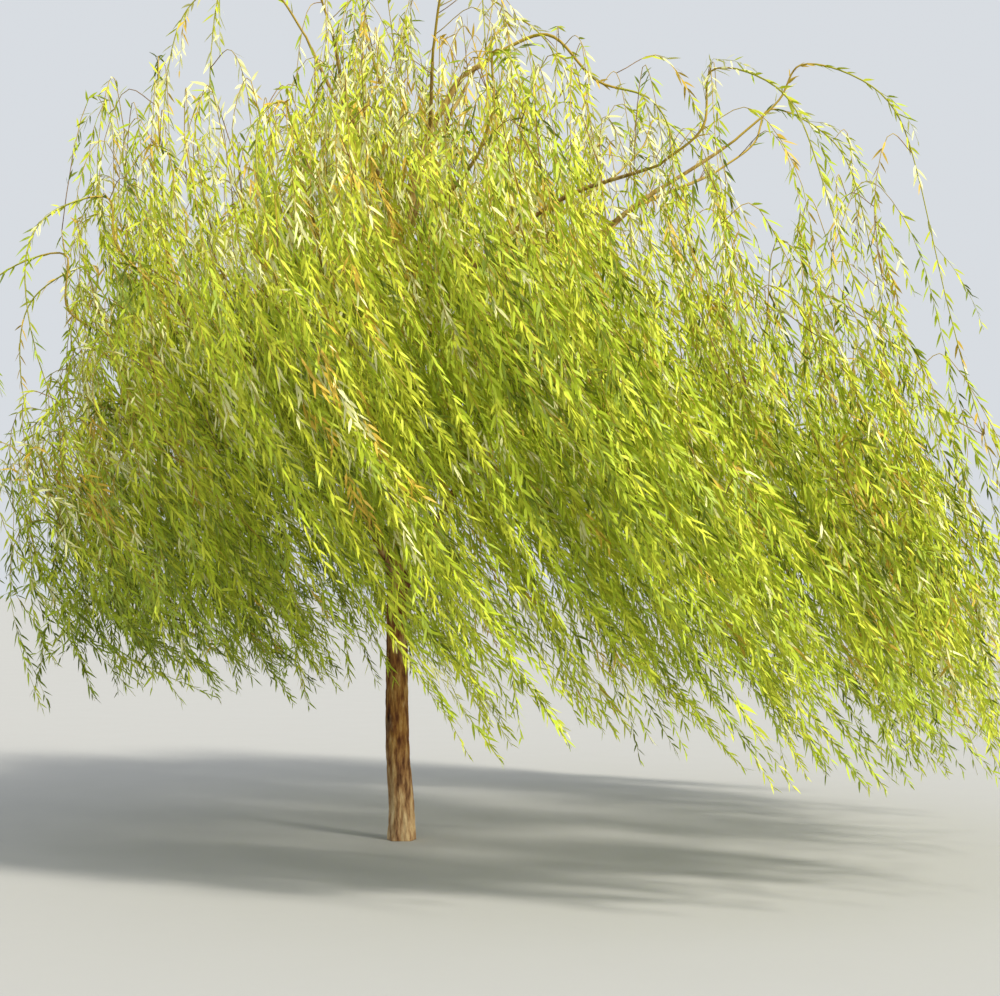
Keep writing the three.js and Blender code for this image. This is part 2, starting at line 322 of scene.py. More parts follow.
def drift(x, y, z):
    """How far the breeze carries points that would hang at x, y in still air."""
    reach, onset = CROWN["reach"], WIND["onset"]
    depth = np.maximum(0, WIND["top"] - z)
    windward = mix(WIND["windward"], 1, smooth(x, *(edge * reach for edge in WIND["windward_edge"])))
    leeward = mix(1, WIND["leeward"], smooth(x, *(edge * reach for edge in WIND["leeward_edge"])))
    far = mix(1, WIND["far"], smooth(y, -reach, reach))
    return WIND["slope"] * windward * leeward * far * (depth - onset * np.arctan(depth / onset))


def blown(points, gust=1.0):
    x, y, z = points.T
    return np.stack([x + gust * drift(x, y, z), y, z], 1)


def calm(points):
    """The inverse of blown: where the points would hang in still air."""
    points = np.atleast_2d(points)
    x, y, z = points.T
    still = x.copy()
    for _ in range(WIND["rounds"]):
        still = mix(still, x - drift(still, y, z), WIND["step"])
    return np.stack([still, y, z], 1)


def curve_at(knots, shares):
    """Points of the centripetal Catmull-Rom curve through the knots, at shares of its whole stretches."""
    knots = np.asarray(knots, float)
    last = len(knots) - 1
    place = np.atleast_1d(np.asarray(shares, float)) * last
    i = np.minimum(place.astype(int), last - 1)
    w = (place - i)[:, None]
    padded = np.vstack([2 * knots[0] - knots[1], knots, 2 * knots[-1] - knots[-2]])
    p = [padded[i + n] for n in range(4)]
    before, here, after = (np.linalg.norm(p[n + 1] - p[n], axis=1)[:, None] ** 0.5 for n in range(3))
    leave = (p[1] - p[0]) / before - (p[2] - p[0]) / (before + here) + (p[2] - p[1]) / here
    arrive = (p[2] - p[1]) / here - (p[3] - p[1]) / (here + after) + (p[3] - p[2]) / after
    leave, arrive = leave * here, arrive * here
    square = -3 * p[1] + 3 * p[2] - 2 * leave - arrive
    cube = 2 * p[1] - 2 * p[2] + leave + arrive
    return p[1] + leave * w + square * w**2 + cube * w**3


def evenly_along(knots, shares):
    """Points of the same curve, at shares of its length."""
    grid = np.linspace(0, 1, 201)
    steps = np.linalg.norm(np.diff(curve_at(knots, grid), axis=0), axis=1)
    length = np.concatenate([[0], np.cumsum(steps)])
    return curve_at(knots, np.interp(np.atleast_1d(shares) * length[-1], length, grid))


def polyline_at(points, shares):
    place = np.atleast_1d(shares) * (len(points) - 1)
    return np.stack([np.interp(place, np.arange(len(points)), points[:, n]) for n in range(3)], 1)


def lengths_along(points):
    return np.concatenate([[0], np.cumsum(np.linalg.norm(np.diff(points, axis=0), axis=1))])


def walk(points, distances):
    """Points and directions at distances along the points, carried straight on past the end."""
    length = lengths_along(points)
    i = np.clip(np.searchsorted(length, distances, side="right") - 1, 0, len(points) - 2)
    along = unit(points[i + 1] - points[i])
    return points[i] + along * (distances - length[i])[:, None], along


# Limbs: the trunk and the boughs, and the masses that they carry


def trunk_radius(share, height, angle):
    radius = mix(TRUNK["waist"], TRUNK["tip"], share ** TRUNK["taper"])
    lobes = FLARE["lobe_depth"] * np.cos(FLARE["lobes"] * angle)
    return radius + np.exp(-height / FLARE["height"]) * (FLARE["radius"] + lobes)


ring_shares = np.arange(TRUNK["steps"] + 1) / TRUNK["steps"]
TRUNK_RINGS = evenly_along(TRUNK_LINE, ring_shares ** TRUNK["crowding"])


def trunk_at_height(z):
    """The point of the trunk's line where it passes a height, found as the CAD finds it."""
    share = 0.0
    while share < 1 and polyline_at(TRUNK_RINGS, share)[0][2] < z:
        share += TRUNK["search_step"]
    return polyline_at(TRUNK_RINGS, share)[0]


def bough_knots(start, end, number):
    """A bough bows upward and wanders a little sideways, at its two bends."""
    across = end - start
    length = np.linalg.norm(across)
    sideways = unit(np.array([-across[1], across[0], 0]))

    def point_at(share, lift):
        wander = (chance(number, share, 1) - 0.5) * BOUGH["wander"] * length
        return start + across * share + UP * lift * BOUGH["bow"] * length + sideways * wander

    return np.array([start, *(point_at(share, lift) for share, lift in BOUGH["bends"]), end])


def crest_at(ring, azimuth, windward=WINDWARD_DROP):
    share = smooth(-np.cos(azimuth), windward["from"], windward["to"]) if ring is OUTER else 0
    far = FAR_RISE * np.sin(azimuth) * ring["seat"] / OUTER["seat"]
    return ring["crest"] + ring["leeward_rise"] * np.cos(azimuth) + far - windward["drop"] * share


def masses_of(ring, first_number):
    masses = []
    for i in range(ring["count"]):
        number = first_number + i
        uneven = {use: chance(number, 0, n) - 0.5 for n, use in ((2, "azimuth"), (3, "crest"), (4, "foot"))}
        azimuth = ring["first"] + i / ring["count"] * TURN + uneven["azimuth"] * UNEVEN["azimuth"]
        reach = reach_at(azimuth)
        crest = float(crest_at(ring, azimuth)) + uneven["crest"] * UNEVEN["crest"]
        foot = ring["foot"] - FOOT_TILT["drop"] * math.cos(azimuth - FOOT_TILT["azimuth"])
        foot += uneven["foot"] * UNEVEN["foot"]
        masses.append(
            {
                "name": f"{ring['name']}_{i + 1}",
                "number": number,
                "azimuth": azimuth,
                "seat": outward(azimuth) * reach * ring["seat"],
                "tip": outward(azimuth) * reach * ring["bough_end"] + UP * (crest - BOUGH["below_crest"]),
                "crest": crest,
                "foot": foot,
                "ring": ring,
                "knots": None,
            }
        )
    return masses


def add_bough(limbs, name, mass, start, radius):
    knots = bough_knots(start, mass["tip"], mass["number"])
    limbs[name] = {"knots": knots, "radius": radius}
    near_end, end = curve_at(knots, [0.9999, 1])
    mass["direction"] = unit(end - near_end)
    mass["knots"] = knots
    return knots


def grow_limbs():
    """Each bough by its node's name, and all masses. The first is the leader, on the trunk's tip."""
    limbs = {}
    inner = masses_of(INNER, 1)
    outer = masses_of(OUTER, 1 + INNER["count"])
    leader = inner[0]
    leader["crest"] = LEADER_CREST
    leader["tip"] = TRUNK_RINGS[-1]
    leader["direction"] = unit(TRUNK_RINGS[-1] - TRUNK_RINGS[-2])
    for i, mass in enumerate(inner[1:]):
        height = mix(*BOUGH["inner_heights"], spread_out(i, 2))
        add_bough(limbs, f"upper_bough_{i + 1}", mass, trunk_at_height(height), BOUGH["inner"])
    for pair in range(1, len(outer) // 2 + 1):
        main, side = outer[2 * pair - 2 : 2 * pair]
        height = mix(*BOUGH["main_heights"], spread_out(pair - 1, 2))
        knots = add_bough(limbs, f"main_bough_{pair}", main, trunk_at_height(height), BOUGH["main"])
        start = evenly_along(knots, BOUGH["side_share"])[0]
        add_bough(limbs, f"side_bough_{pair}", side, start, BOUGH["side"])
    return limbs, inner + outer


# Meshes of twigs and leaves


class Mesh:
    """Gathers faces with the numbers of their materials, then makes one smooth object of them."""

    def __init__(self):
        self.points = []
        self.faces = []
        self.tones = []
        self.count = 0

    def add(self, points, faces, tone=0):
        self.points.append(points.reshape(-1, 3))
        self.faces.append(faces + self.count)
        self.tones.append(np.broadcast_to(tone, len(faces)))
        self.count += len(self.points[-1])

    def make(self, name, materials):
        points = np.concatenate(self.points)
        sizes = np.concatenate([np.full(len(f), f.shape[1]) for f in self.faces])
        corners = np.concatenate([f.ravel() for f in self.faces])
        data = bpy.data.meshes.new(name)
        data.vertices.add(len(points))
        data.vertices.foreach_set("co", points.astype(np.float32).ravel())
        data.loops.add(len(corners))
        data.loops.foreach_set("vertex_index", corners.astype(np.int32))
        data.polygons.add(len(sizes))
        data.polygons.foreach_set("loop_start", (np.cumsum(sizes) - sizes).astype(np.int32))
        data.polygons.foreach_set("material_index", np.concatenate(self.tones).astype(np.int32))
        data.polygons.foreach_set("use_smooth", np.ones(len(sizes), bool))
        for material in materials:
            data.materials.append(material)
        data.update(calc_edges=True)
        piece = bpy.data.objects.new(name, data)
        bpy.context.scene.collection.objects.link(piece)
        return piece


def ring_faces(rings, sides):
    i, j = np.meshgrid(np.arange(rings - 1), np.arange(sides), indexing="ij")
    after = (j + 1) % sides
    quads = [i * sides + j, i * sides + after, (i + 1) * sides + after, (i + 1) * sides + j]
    return np.stack(quads, -1).reshape(-1, 4)


def add_twig(mesh, points, start_radius, end_radius, tones):
    """A thin three-sided tube, closed at both ends, that goes from its first tone to its last."""
    sides = 3
    along = unit(np.gradient(points, axis=0))
    bend = np.cross(along[0], along[-1])
    if np.linalg.norm(bend) < 0.05:
        bend = np.cross(along[0], DOWNWIND + 0.3 * UP)
    normal = unit(np.cross(bend, along))
    binormal = np.cross(along, normal)
    angle = np.arange(sides) / sides * TURN
    ring = normal[:, None] * np.cos(angle)[:, None] + binormal[:, None] * np.sin(angle)[:, None]
    radius = np.linspace(start_radius, end_radius, len(points))[:, None, None]
    tone = np.round(np.linspace(*tones, len(points) - 1)).astype(int)
    mesh.add(points[:, None] + ring * radius, ring_faces(len(points), sides), np.repeat(tone, sides))
    first = mesh.count - len(points) * sides
    last = mesh.count - sides
    mesh.faces.append(np.array([[first, first + 2, first + 1], [last, last + 1, last + 2]]))
    mesh.tones.append(tone[[0, -1]])


class Leaves:
    """Gathers the places of leaves along twigs, then makes them all at once."""

    def __init__(self):
        self.places = []

    def along(self, seed, points, first, last, size):
        """Places leaves up a twig from first to last, in metres from its root."""
        count = int((last - first) / LEAF["spacing"])
        if count < 1:
            return
        index = np.arange(count)
        root, along = walk(points, first + (index + 0.5) * LEAF["spacing"])
        facts = [np.full(count, seed), index, index / count, np.full(count, size)]
        self.places.append(np.hstack([root, along, np.stack(facts, 1)]))

    def kept(self):
        """The leaves that the crown's fullness and their twigs' richness leave, and the fullness there."""
        places = np.concatenate(self.places)
        seed, index = places[:, 6], places[:, 7]
        full = fullness(places[:, :3])
        rich = mix(*LEAF["richness"], chance(np.floor(seed / TWIG_SEEDS), 0, 13))
        kept = chance(seed, index, 18) < full * rich
        return places[kept], full[kept]

    def make(self, name, materials):
        """Each leaf slants off its twig, a turn of the spiral on from the last, and leans downwind."""
        places, full = self.kept()
        root, along = places[:, :3], places[:, 3:6]
        seed, index, share, size = places[:, 6:].T
        luck = np.stack([chance(seed, index, use) for use in range(20, 26)])
        angle = index * LEAF["spiral"] + chance(seed, 0, 19) * TURN + (luck[0] - 0.5)
        side = np.stack([np.cos(angle), np.sin(angle), np.full(len(index), -LEAF["sag"])], 1)
        side = side + LEAF["downwind"] * DOWNWIND
        side = unit(side - along * (side * along).sum(1, keepdims=True))
        slant = mix(*LEAF["slant"], luck[1]) + LEAF["ruffle"] * (1 - full)
        direction = unit(along + side * slant[:, None])
        normal = unit(np.cross(direction, along))
        flat = np.cross(normal, direction)
        turn = ((luck[2] - 0.5) * LEAF["turn"])[:, None]
        cos, sin = np.cos(turn), np.sin(turn)
        normal, flat = normal * cos + flat * sin, flat * cos - normal * sin
        taper = size * (1 - LEAF["end_taper"] * share**3) * mix(LEAF["open_size"], 1, full)
        length = (LEAF["length"] * taper * mix(*LEAF["lengths"], luck[3]))[:, None, None]
        width = (LEAF["width"] / 2 * taper * mix(*LEAF["widths"], luck[4]))[:, None, None]
        bend = (LEAF["bend"] * (luck[5] - LEAF["backward"]))[:, None, None]
        u, v = LEAF_SHAPE[:, 0][None, :, None], LEAF_SHAPE[:, 1][None, :, None]
        corners = root[:, None] + direction[:, None] * u * length + flat[:, None] * v * width
        corners = corners + normal[:, None] * bend * u**2 * length - UP * LEAF["droop"] * u**2 * length
        first_corner = np.arange(len(index))[:, None, None] * len(LEAF_SHAPE)
        faces = (LEAF_FACES[None] + first_corner).reshape(-1, 3)
        mesh = Mesh()
        mesh.add(corners, faces, np.repeat(tones_of(root, seed, index), len(LEAF_FACES)))
        return mesh.make(name, materials)


def patches(points):
    """A slow unevenness from -1 to 1, so that whole sprays turn lighter or deeper together."""
    x, y, z = points.T
    return np.sin(7.3 * x + 2 * np.sin(4.1 * z + y)) * np.sin(6.1 * y + 5.2 * z + 1.5 * np.sin(5.7 * x))


def tones_of(root, seed, index):
    """The colour of each leaf, dealt out by spray, in shares that go by its place in the crown, with
    painted light at the top and to windward and painted shade low to windward.
    """
    of_twigs = chance(np.floor(seed / TWIG_SEEDS) * TWIG_SEEDS, 0, 11)
    of_spray = chance(seed, np.floor(index / TINT["spray"]), 12)
    luck = mix(of_twigs, of_spray, TINT["spray_share"]) + TINT["patch_share"] * patches(root)
    high = smooth(root[:, 2], *TINT["high"])[:, None]
    low = smooth(root[:, 2], *TINT["low"])[:, None]
    windward = smooth(root[:, 0], *TINT["windward"])[:, None]
    tones = np.array([tone_shares for _, tone_shares in LEAF_TONES.values()], float)
    everywhere, on_high_gold_and_highlight, on_windward_painted_light, on_low_painted_shade = tones.T
    # High in the crown the golden and pale tones gain, partly real tint and partly painted highlight; to
    # windward lighter tones paint light, and low to windward the darkest tone paints shade
    shares = mix(mix(everywhere, on_windward_painted_light, windward), on_high_gold_and_highlight, high)
    shares = mix(shares, on_low_painted_shade, windward * low)
    steps = np.cumsum(shares, axis=1)
    return (luck.clip(0, 1)[:, None] * steps[:, -1:] > steps[:, :-1]).sum(1)


# The crown's own form, and what hangs in it


def foot_at(mass, place):
    """The lowest height of a mass's strands, lifted near the camera on the windward side of the trunk."""
    lift = smooth(place[0], *FOOT_LIFT["windward"])
    lift = lift * mix(1, FOOT_LIFT["rim_share"], smooth(place[0], *FOOT_LIFT["rim"]))
    return mass["foot"] + FOOT_LIFT["height"] * (lift * smooth(place[1], *FOOT_LIFT["near"]))


def stem_line(mass):
    """The stem carries the bough on past its tip, rises over the mass's crest, and hangs outside it."""
    out, radial = outward(mass["azimuth"]), mass["ring"]["half"][0]
    start = calm(mass["tip"] + mass["direction"] * STEM["collar"])[0]

    def point_at(place):
        return mass["seat"] + out * place[0] * radial + UP * (mass["crest"] - place[1] * radial)

    crest, hang = point_at(STEM["crest"]), point_at(STEM["hang"])
    climb = start + mass["direction"] * STEM["climb"] * np.linalg.norm(crest - start)
    climb = mix(climb, crest, STEM["pull"])
    foot = np.array([hang[0], hang[1], foot_at(mass, hang)])
    knots = [start, climb, crest, point_at(STEM["shoulder"]), hang, foot]
    points = blown(curve_at(knots, np.linspace(0, 1, STEM["points"])))
    root = mass["tip"] - mass["direction"] * STEM["sunk"]
    return np.vstack([root, points])


def column(mass, k):
    """Where the kth strand of a mass hangs in still air, every second mass the other way round."""
    ring, azimuth = mass["ring"], mass["azimuth"]
    angle = (-1) ** mass["number"] * spread_out(k, 3) * TURN
    radius = math.sqrt(spread_out(k, 2))
    half = np.array(ring["half"]) * ring["spread"]
    shift = ring["shift"] + LEEWARD_SHIFT * math.cos(azimuth)
    place = mass["seat"] + outward(azimuth) * (shift + half[0] * radius * math.cos(angle))
    return place + outward(azimuth + TURN / 4) * half[1] * radius * math.sin(angle)


def dome(points):
    """The height of the crown's top over points in still air: a dome, with a ledge on the windward side."""
    x, y = points[..., 0], points[..., 1]
    azimuth = np.arctan2(y, x)
    share = np.hypot(x, y) / reach_at(azimuth)
    inner = mix(crest_at(INNER, azimuth), DOME["leader"], smooth(np.cos(azimuth), *DOME["leader_range"]))
    outer = crest_at(OUTER, azimuth, DOME["shoulder"])
    height = mix(inner, outer, smooth(share, DOME["inner_edge"], OUTER["seat"]))
    fall = DOME["rim_slope"] * np.maximum(0, share - DOME["rim"])
    windward = smooth(-np.cos(azimuth), *DOME["windward"])
    height = mix(height, DOME["ledge"], windward * smooth(share, *DOME["ledge_range"]))
    ledge_fall = DOME["ledge_fall"] * smooth(share, *DOME["ledge_fall_range"])
    ledge_fall = ledge_fall + DOME["ledge_rim_slope"] * np.maximum(0, share - DOME["ledge_rim"])
    return height - mix(fall, ledge_fall, windward)


def openness(mass, place):
    """How open the crown's top is over a place: 0 where strands start high, 1 where most start low."""
    if mass["ring"] is OUTER:
        return smooth(place[0], *OPEN["leeward"])
    leeward = OPEN["inner_share"] * smooth(place[0], *OPEN["inner_leeward"])
    return max(smooth(place[0], *OPEN["inner_windward"]), leeward)


def strand_line(mass, carriers, k):
    """A strand springs from the nearest carrier, turns over just below the dome, and hangs at its place."""
    rise_luck, *sway_luck, gust_luck, height_luck, scatter_luck, lift_luck, ragged_luck = (
        chance(mass["number"], k, use) for use in range(6, 16)
    )
    place = column(mass, k)
    is_open = openness(mass, place)
    ragged = STRAND["ragged"] * ragged_luck * smooth(place[0], *STRAND["ragged_range"])
    top, bottom = dome(place), foot_at(mass, place) - ragged
    drop = min(mix(*STRAND["drop"], is_open), top - bottom - STRAND["shortest"])
    height = top - drop * height_luck ** mix(*STRAND["drop_power"], is_open)
    wanted = place - outward(mass["azimuth"]) * STRAND["inward"] * mass["ring"]["half"][0]
    wanted[2] = height - STRAND["over"] + (scatter_luck - 0.5) * STRAND["scatter"]
    start = carriers[np.argmin(((carriers - wanted) ** 2).sum(1))]
    slope = STRAND["slope"] * np.linalg.norm((place - start)[:2])
    over = mix(start, place, 0.5)
    over[2] = min(max(start[2], height) + STRAND["over"] + slope, dome(over) + STRAND["lift"] * lift_luck)
    turned = np.array([*place[:2], min(height, start[2] + STRAND["rise"]) - STRAND["under"] - slope])
    lee = smooth(place[0], *LEEWARD_FOOT["from"])
    longest_rise = STRAND["foot_range"] * mix(1, LEEWARD_FOOT["stretch"], lee)
    longest_rise = min(longest_rise, height - bottom - STRAND["shortest_hang"])
    rise = rise_luck ** mix(*STRAND["foot_power"], lee) * longest_rise
    foot = np.array([*place[:2], bottom + rise])
    sway = [(n - 0.5) * STRAND["sway"] for n in sway_luck]
    middle = mix(turned, foot, 0.5) + [sway[0], sway[1], 0]
    foot = foot + [STRAND["foot_sway"] * sway[2], STRAND["foot_sway"] * sway[3], 0]
    gust = mix(*GUST["range"], gust_luck) - GUST["leeward_less"] * smooth(place[0], *GUST["leeward"])
    share = np.linspace(0, 1, STRAND["points"])
    points = curve_at([start, over, turned, middle, foot], share)
    return blown(points, mix(1, gust, smooth(share, *GUST["onset"])))


def carriers_of(mass, stem):
    """Points in still air that strands may spring from, on the bough's outer part and the stem's arch."""
    bough = TRUNK_RINGS[-4:] if mass["knots"] is None else mass["knots"]
    bough = evenly_along(bough, np.linspace(*STRAND["bough"]))
    return calm(np.vstack([bough, polyline_at(stem, np.linspace(*STRAND["arch"]))]))


def fullness(points):
    """The share of leaves kept at points: the crown is open near its top, most of all to leeward."""
    still = calm(points)
    below = dome(still) - still[:, 2]
    x, z = points[:, 0], points[:, 2]
    windward = FULLNESS["windward_share"] * smooth(x, *FULLNESS["windward"])
    side = np.maximum(smooth(x, *FULLNESS["leeward"]), windward * smooth(z, *FULLNESS["windward_height"]))
    depth = smooth(below, mix(*FULLNESS["starts"], side), mix(*FULLNESS["complete"], side))
    full = mix(mix(*FULLNESS["least"], side), 1, depth)
    corner = FULLNESS["corner_less"] * smooth(x, *FULLNESS["corner_out"])
    return full * (1 - corner * smooth(z, *FULLNESS["corner_down"]))


def side_line(points, begin, length, width, angle):
    """A side twig runs along its strand, drawing away from it."""
    share = np.linspace(0, 1, SIDE_TWIG["points"])
    line, along = walk(points, begin + SIDE_TWIG["slack"] * length * share)
    side = np.array([math.cos(angle), math.sin(angle), SIDE_TWIG["upward"]])
    side = unit(side - along * (along @ side)[:, None])
    return line + side * (width * (1 - (1 - share) ** 2))[:, None]


def grow_mass(mass):
    """The mass's stem, its strands, and side twigs along them, all with leaves where the crown is full."""
    twigs, leaves = Mesh(), Leaves()
    number = mass["number"]
    stem = stem_line(mass)
    add_twig(twigs, stem, STEM["leader" if mass["knots"] is None else "radius"], STEM["tip"], (1, 2))
    lines = [stem]
    carriers = carriers_of(mass, stem)
    for k in range(1, mass["ring"]["strands"] + 1):
        strand = strand_line(mass, carriers, k)
        lines.append(strand)
        if k <= STRAND["parents"]:
            carriers = np.vstack([carriers, calm(strand[STRAND["parent_points"]])])
        add_twig(twigs, strand, STRAND["radius"], STRAND["tip"], (chance(number, k, 16), 2))
    for k, line in enumerate(lines):
        seed = number * LINE_SEEDS + k
        length = lengths_along(line)[-1]
        leaves.along(seed, line, STRAND["bare"] * length, length, 1.0)
        add_side_twigs(twigs, leaves, seed, line, length)
    return twigs, leaves


def add_side_twigs(twigs, leaves, seed, line, length):
    """Side twigs along a line: fewer of them, drawn further away from it, where the crown is open."""
    spacing, usual = SIDE_TWIG["spacing"], SIDE_TWIG["length"][0]
    index = np.arange(int(length * (1 - SIDE_TWIG["first"]) / spacing))
    luck = np.stack([chance(seed, index, use) for use in range(30, 35)])
    begin = length * SIDE_TWIG["first"] + (index + luck[0]) * spacing
    reach = np.minimum(mix(*SIDE_TWIG["length"], luck[1]), length - begin + SIDE_TWIG["past_end"])
    full = fullness(walk(line, begin + reach / 2)[0])
    kept = (reach > SIDE_TWIG["shortest"]) & (luck[4] < 2 * full - 1)
    spread = 1 + SIDE_TWIG["spread"] * (1 - full)
    width = mix(*SIDE_TWIG["width"], luck[2]) * spread * reach / usual
    for i in index[kept]:
        side = side_line(line, begin[i], reach[i], width[i], luck[3][i] * TURN)
        add_twig(twigs, side, SIDE_TWIG["radius"], SIDE_TWIG["tip"], (2, 2))
        last = lengths_along(side)[-1]
        leaves.along(seed * TWIG_SEEDS + i, side, SIDE_TWIG["bare"], last, SIDE_TWIG["leaf_size"])


# Materials


def hexed(code):
    """A colour's linear values from its usual hexadecimal code."""
    values = [int(code[i : i + 2], 16) / 255 for i in (0, 2, 4)]
    return (*(v / 12.92 if v <= 0.04045 else ((v + 0.055) / 1.055) ** 2.4 for v in values), 1)


class Material:
    """A Principled material whose patterns come from noise in the object's own space."""

    def __init__(self, name, colour, specular=0.3):
        self.material = bpy.data.materials.new(name)
        self.material.use_nodes = True
        self.nodes = self.material.node_tree.nodes
        self.shader = self.nodes["Principled BSDF"]
        self.shader.inputs["Base Color"].default_value = hexed(colour)
        self.shader.inputs["Specular IOR Level"].default_value = specular
        self.place = self.nodes.new("ShaderNodeTexCoord").outputs["Object"]

    def link(self, output, socket):
        self.material.node_tree.links.new(output, socket)

    def noise(self, scale, detail=3.0, stretch=1.0):
        """Noise of a scale per metre, drawn out along Z by the stretch."""
        mapping = self.nodes.new("ShaderNodeMapping")
        mapping.inputs["Scale"].default_value = (1, 1, 1 / stretch)
        self.link(self.place, mapping.inputs["Vector"])
        texture = self.nodes.new("ShaderNodeTexNoise")
        texture.inputs["Scale"].default_value = scale
        texture.inputs["Detail"].default_value = detail
        texture.inputs["Roughness"].default_value = 0.6
        self.link(mapping.outputs["Vector"], texture.inputs["Vector"])
        return texture.outputs["Fac"]

    def between(self, value, from_low, from_high, to_low, to_high):
        node = self.nodes.new("ShaderNodeMapRange")
        node.inputs["From Min"].default_value = from_low
        node.inputs["From Max"].default_value = from_high
        node.inputs["To Min"].default_value = to_low
        node.inputs["To Max"].default_value = to_high
        self.link(value, node.inputs["Value"])
        return node.outputs["Result"]

    def ramp(self, value, stops):
        node = self.nodes.new("ShaderNodeValToRGB")
        elements = node.color_ramp.elements
        for i, (place, colour) in enumerate(stops):
            element = elements[i] if i < 2 else elements.new(place)
            element.position = place
            element.color = hexed(colour)
        self.link(value, node.inputs["Fac"])
        return node.outputs["Color"]

    def mixed(self, share, first, second):
        node = self.nodes.new("ShaderNodeMix")
        node.data_type = "RGBA"
        self.link(share, node.inputs["Factor"])
        self.link(first, node.inputs["A"])
        self.link(second, node.inputs["B"])
        return node.outputs["Result"]

    def rough(self, value, at_low, at_high):
        """Roughness that goes from one value where the noise is low to the other where it is high."""
        self.link(self.between(value, 0.3, 0.7, at_low, at_high), self.shader.inputs["Roughness"])

    def bump(self, value, depth, strength):
        node = self.nodes.new("ShaderNodeBump")
        node.inputs["Strength"].default_value = strength
        node.inputs["Distance"].default_value = depth
        self.link(value, node.inputs["Height"])
        self.link(node.outputs["Normal"], self.shader.inputs["Normal"])


# Each tone's colour, and its shares: everywhere, high in the crown, to windward, and low to windward. The
# sunlit tone is a painted sunlit copy of the leaf green and the darkest tone a painted shade copy; the pale
# tone is partly the whitish underside of willow leaves and partly painted highlight.
LEAF_TONES = {
    "leaf_golden": ("c8aa3c", (7, 16, 6, 2)),
    # Partly the whitish underside of willow leaves, partly painted highlight
    "leaf_underside_and_highlight": ("dede9c", (11, 24, 19, 5)),
    "leaf_sunlit": ("c6ce38", (29, 26, 26, 20)),
    "leaf_fresh": ("acbe2a", (26, 20, 26, 28)),
    "leaf_cool": ("a0b440", (7, 6, 11, 16)),
    # Painted shade: a darker copy of the leaf green
    "leaf_painted_shade": ("6c7c18", (22, 13, 13, 44)),
}
TWIG_TONES = {"twig_brown": "8a6a3a", "twig_golden": "b49a3c", "twig_green": "aaa838"}
FLOOR_TONE = "b0b0ae"

# The bark's colour ramps go from its furrows to its ridges. High takes over from low, and low from foot,
# between two heights, and plates between two values of their noise. The pale foot is painted sunlight.
BARK = {
    "mean": "7d5a40",
    "low": [(0.3, "2c1a0c"), (0.42, "643c20"), (0.52, "8c622e"), (0.62, "a8844a"), (0.74, "c8aa74")],
    "high": [(0.3, "5e4a22"), (0.45, "8a7038"), (0.58, "a8904a"), (0.74, "c0aa6c")],
    "high_between": (1.3, 2.7),
    "plates": [(0.3, "6e5036"), (0.5, "b2966c"), (0.7, "dcc89c")],
    "plates_between": (0.56, 0.68),
    "plates_share": 0.75,
    # The foot ramp is painted sunlight on the trunk's lower part
    "foot": [(0.34, "6a4c34"), (0.46, "b08e64"), (0.58, "d8c094"), (0.7, "ecdcb8")],
    "painted_light_foot_between": (0.5, 0.05),
    "painted_light_foot_share": 0.6,
}


def leaf_material(name, colour):
    """A plain colour with the slight waxy unevenness of a willow leaf."""
    leaf = Material(name, colour)
    leaf.rough(leaf.noise(60), at_low=0.42, at_high=0.66)
    leaf.bump(leaf.noise(420, detail=2.0), depth=0.0006, strength=0.5)
    return leaf.material


def twig_material(name, colour):
    """A plain colour under fine lengthwise grain."""
    twig = Material(name, colour)
    twig.rough(twig.noise(90), at_low=0.5, at_high=0.75)
    twig.bump(twig.noise(700, detail=2.0, stretch=4.0), depth=0.0004, strength=0.6)
    return twig.material


def bark_material():
    """Reddish brown bark with dark furrows and pale plates, golden on upper limbs and pale at the foot as
    painted sunlight.
    """
    bark = Material("willow_bark", BARK["mean"], specular=0.2)
    grain = bark.noise(34, detail=7.0, stretch=4.5)
    low = bark.ramp(grain, BARK["low"])
    high = bark.ramp(grain, BARK["high"])
    split = bark.nodes.new("ShaderNodeSeparateXYZ")
    bark.link(bark.place, split.inputs["Vector"])
    height = split.outputs["Z"]
    wood = bark.mixed(bark.between(height, *BARK["high_between"], 0, 1), low, high)
    plates = bark.noise(9, detail=4.0, stretch=2.5)
    plates = bark.between(plates, *BARK["plates_between"], 0, BARK["plates_share"])
    wood = bark.mixed(plates, wood, bark.ramp(grain, BARK["plates"]))
    # Painted sunlight: the bark turns pale towards the trunk's foot
    foot = bark.between(height, *BARK["painted_light_foot_between"], 0, BARK["painted_light_foot_share"])
    wood = bark.mixed(foot, wood, bark.ramp(grain, BARK["foot"]))
    bark.link(wood, bark.shader.inputs["Base Color"])
    bark.rough(grain, at_low=0.95, at_high=0.72)
    bark.bump(bark.noise(75, detail=6.0, stretch=4.0), depth=0.006, strength=0.9)
    return bark.material


# The bark's relief: noise cells per metre across and up the limb, and the depth of its furrows
RELIEF = {
    "across": 60,
    "up": 11,
    "sharpness": 2.4,
    "plate": 0.7,
    "fine": 3.1,
    "fine_depth": 0.25,
    "trunk_depth": 0.0034,
    "full_radius": 0.045,
    "bough_depth": 0.06,
}
TRUNK_MESH = {"rings": 480, "crowding": 1.1, "sides": 96}
BOUGH_MESH = {"spacing": 0.016, "sides": 20, "collar": 0.35, "collar_length": 0.05}


def limb_frames(points):
    """Two directions across the line at each of its points, turned as little as can be between them."""
    along = unit(np.gradient(points, axis=0))
    aside = [0.3, 1, 0] if abs(along[0][2]) > 0.5 else UP
    normal = unit(np.cross(along[0], aside))
    normals = []
    for direction in along:
        normal = unit(normal - direction * (normal @ direction))
        normals.append(normal)
    normals = np.array(normals)
    return normals, np.cross(along, normals)


